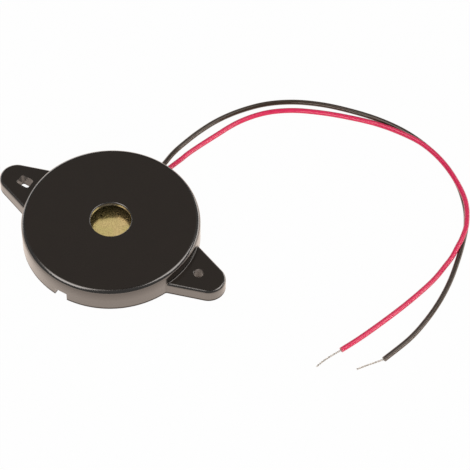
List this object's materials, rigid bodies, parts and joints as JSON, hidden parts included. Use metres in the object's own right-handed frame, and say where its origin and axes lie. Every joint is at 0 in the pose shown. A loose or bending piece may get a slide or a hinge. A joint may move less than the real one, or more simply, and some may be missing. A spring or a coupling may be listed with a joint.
{
  "type": "piezo buzzer",
  "caption": "Flat round piezo buzzer in a black case with a sound hole, a mounting ear on each side and a red and a black flying lead with stripped ends.",
  "frame": {"origin": "centre of the round body at its base", "axes": "+Z out of the top face, +X along the ears towards the round mounting hole, the leads leave the body along +Y"},
  "size_m": [0.108, 0.0868, 0.0065],
  "materials": {
    "housing": "satin moulded",
    "brass": "rolled",
    "ceramic": "silvered",
    "adhesive": "cured silicone",
    "solder": "bright solder",
    "black_insulation": "satin",
    "red_insulation": "satin",
    "tinned_strand": "tinned"
  },
  "bodies": {
    "root": {"housing": "housing", "brass_plate": "brass", "ceramic_disc": "ceramic", "adhesive_bead": "adhesive", "brass_joint": "solder", "ceramic_joint": "solder", "black_lead": "black_insulation", "black_lead_root": "tinned_strand", "black_lead_tip": "tinned_strand", "red_lead": "red_insulation", "red_lead_root": "tinned_strand", "red_lead_tip": "tinned_strand"}
  },
  "joints": []
}
